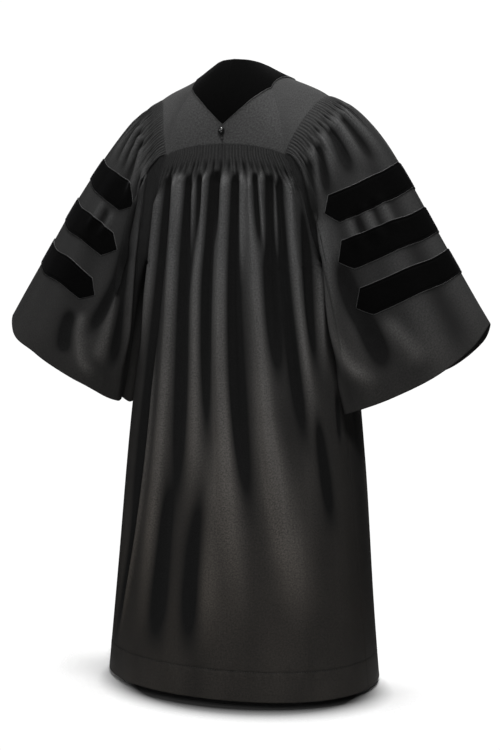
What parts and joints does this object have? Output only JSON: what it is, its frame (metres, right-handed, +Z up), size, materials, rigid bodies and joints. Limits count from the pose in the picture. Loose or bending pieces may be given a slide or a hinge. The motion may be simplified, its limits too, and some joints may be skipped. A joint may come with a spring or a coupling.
{
  "type": "doctoral gown",
  "caption": "Floor-length doctoral gown filled out as if worn, with a yoke, gathered back, bell sleeves with velvet bars, and velvet round the neck and down the fronts.",
  "frame": {"origin": "between the wearer's shoulders, at the base of the neck", "axes": "+Z up, +X to the wearer's left, +Y to the wearer's back"},
  "size_m": [1.098, 0.4635, 1.345],
  "materials": {
    "cloth": "satin",
    "yoke_cloth": "satin",
    "velvet": "matte",
    "button": "satin"
  },
  "bodies": {
    "root": {"yoke": "yoke_cloth", "neck_velvet": "velvet", "back_panel": "cloth", "front_panel_left": "cloth", "front_panel_right": "cloth", "facing_left": "velvet", "facing_right": "velvet", "sleeve_left": "cloth", "sleeve_right": "cloth", "button": "button", "button_cord": "button", "bar_upper_left": "velvet", "bar_middle_left": "velvet", "bar_lower_left": "velvet", "bar_upper_right": "velvet", "bar_middle_right": "velvet", "bar_lower_right": "velvet"}
  },
  "joints": []
}
